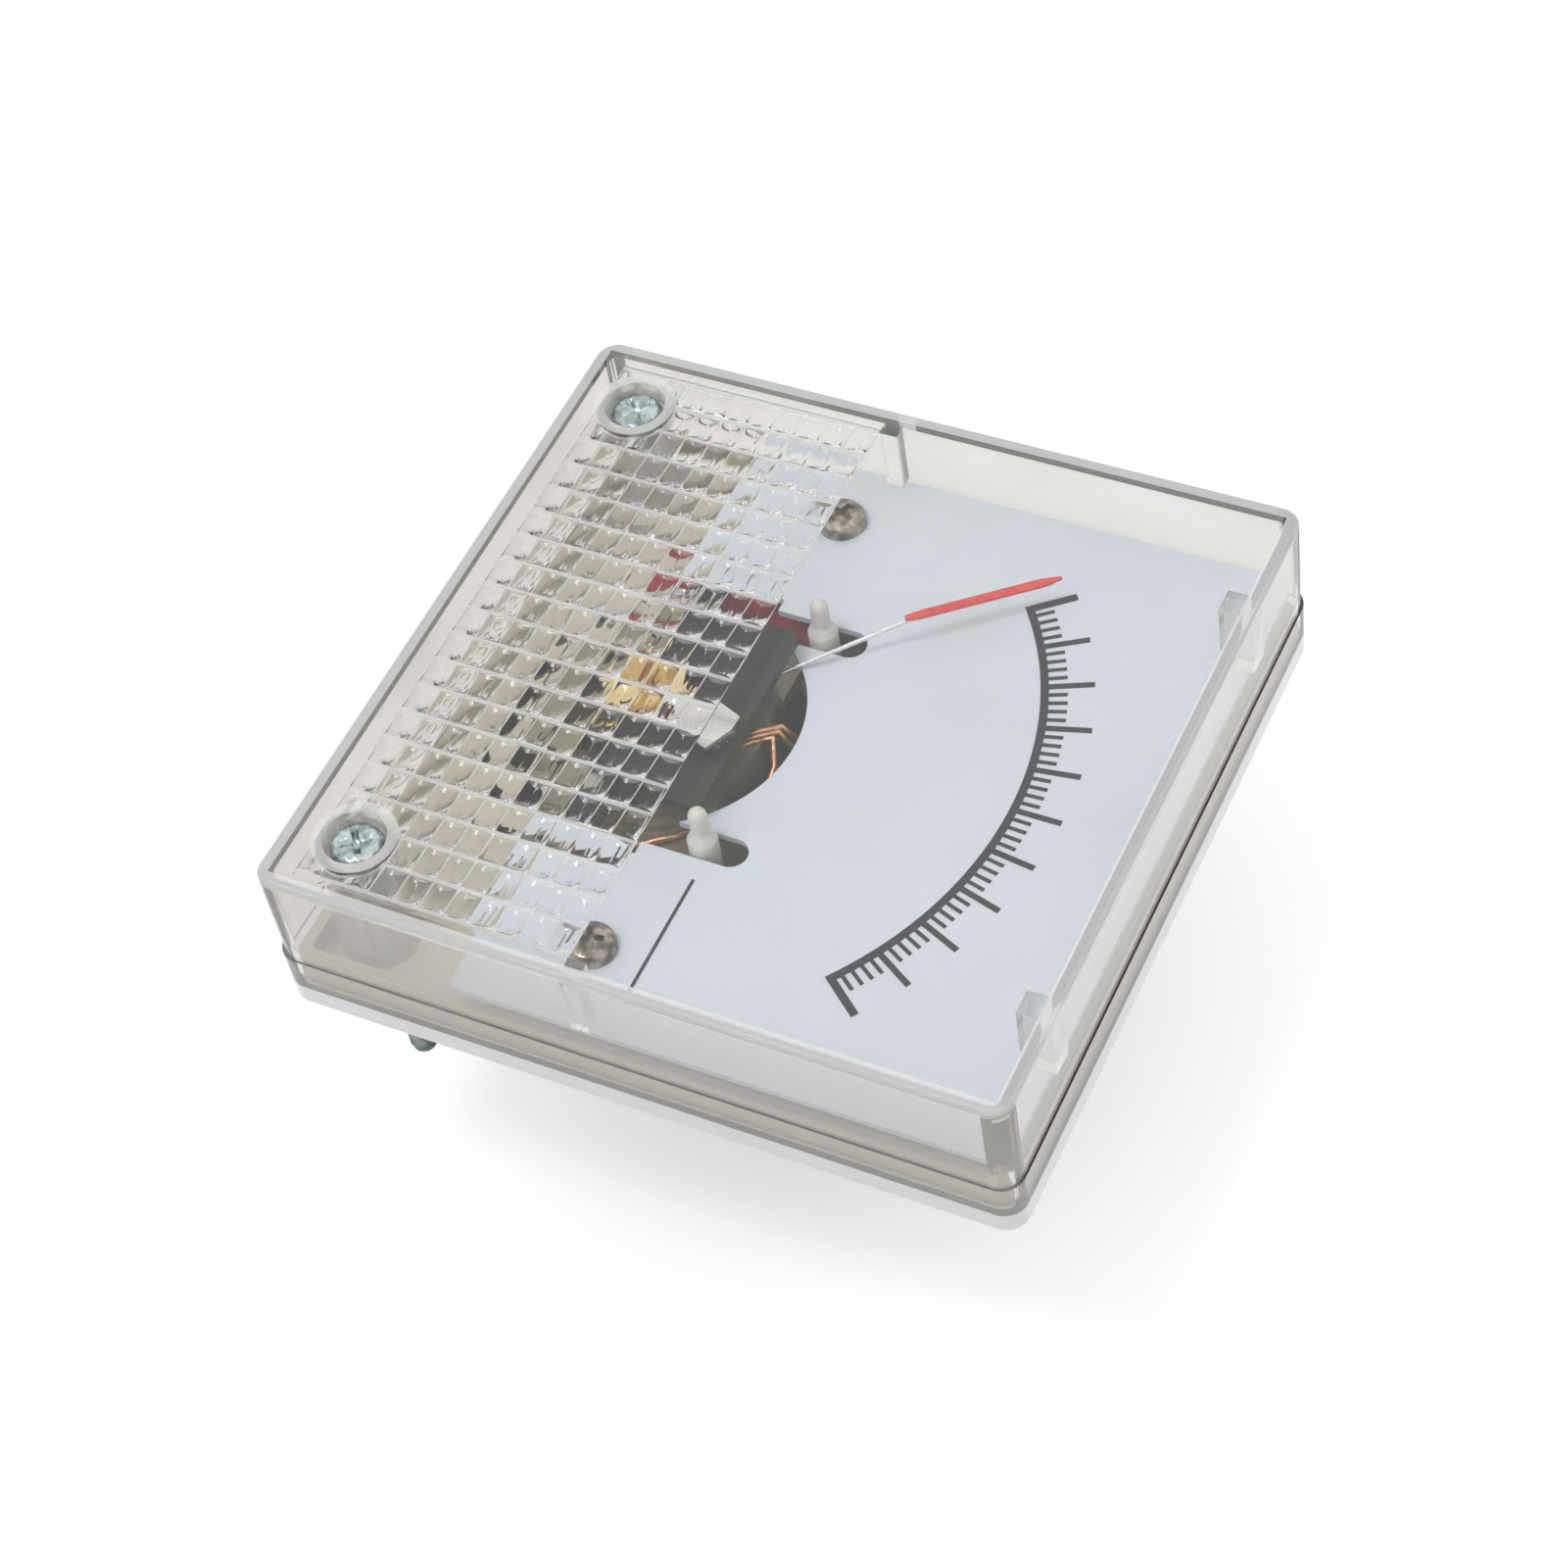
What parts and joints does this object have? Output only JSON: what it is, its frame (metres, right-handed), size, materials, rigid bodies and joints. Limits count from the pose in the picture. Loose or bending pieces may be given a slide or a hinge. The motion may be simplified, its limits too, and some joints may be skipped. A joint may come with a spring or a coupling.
{
  "type": "analog panel meter",
  "caption": "Square moving-coil panel meter with a clear prismatic front cover, white dial, red-tipped pointer, round rear barrel and two terminal studs.",
  "frame": {"origin": "on the barrel's axis at the back face of the flange, which is the panel plane", "axes": "+Z out of the front of the meter, +Y towards the top of the dial, +X to the right as the dial is read"},
  "size_m": [0.08, 0.082, 0.0522],
  "materials": {
    "clear_plastic": "polished clear",
    "clear_base": "clear",
    "cream_plastic": "satin",
    "dark_grey_plastic": "matte",
    "white_enamel": "satin",
    "black_ink": "matte",
    "nickel": "polished",
    "zinc_steel": "bright zinc",
    "nylon": "satin",
    "grey_steel": "dull",
    "steel_screw": "bright",
    "yoke_iron": "dull",
    "magnet": "dull",
    "brass": "satin",
    "bright_brass": "bright",
    "tinned_steel": "bright",
    "aluminium": "satin",
    "copper_wire": "enamelled copper",
    "spring_bronze": "bright",
    "pointer_silver": "bright",
    "red_paint": "satin",
    "red_fibre": "satin",
    "brown_bakelite": "satin"
  },
  "bodies": {
    "case": {"front_cover": "clear_plastic", "base_flange": "clear_base", "base_tray": "cream_plastic", "barrel_cup": "dark_grey_plastic", "dial_plate": "white_enamel", "scale_marks": "black_ink", "caption_line": "black_ink", "dial_screws": "nickel", "mounting_screws": "zinc_steel", "stop_pegs": "nylon", "carrier_plate": "grey_steel", "carrier_screws": "steel_screw", "yoke_ring": "yoke_iron", "magnet_core": "magnet", "core_supports": "brass", "bridge_pillars": "steel_screw", "upper_bridge": "grey_steel", "lower_bridge": "grey_steel", "bridge_screws": "steel_screw", "upper_jewel_screw": "brass", "lower_jewel_screw": "brass", "jewel_lock_nuts": "brass", "red_insulator": "red_fibre", "range_spool": "brown_bakelite", "range_winding": "copper_wire", "lead_wires": "copper_wire", "terminal_studs": "brass", "terminal_nuts": "brass", "terminal_washers": "steel_screw", "solder_lugs": "tinned_steel"},
    "pointer": {"coil_former": "aluminium", "coil_winding": "copper_wire", "pivot_staffs": "steel_screw", "upper_hairspring": "spring_bronze", "lower_hairspring": "spring_bronze", "pointer_hub": "aluminium", "pointer_arm": "pointer_silver", "pointer_tip": "red_paint", "balance_nuts": "brass"},
    "zero_adjuster": {"zero_disc": "bright_brass", "zero_tab": "tinned_steel"}
  },
  "joints": [
    {"name": "pointer_swing", "type": "hinge", "parent": "case", "child": "pointer", "pos_m": [0, -0.0125, 0.0098], "axis": [0, 0, -1], "range_deg": [-4, 80.6], "stiffness_Nm_per_rad": 0.00002},
    {"name": "zero_adjust", "type": "hinge", "parent": "case", "child": "zero_adjuster", "pos_m": [0, -0.0125, 0.0138], "axis": [0, 0, -1], "range_deg": [-12, 12]}
  ]
}
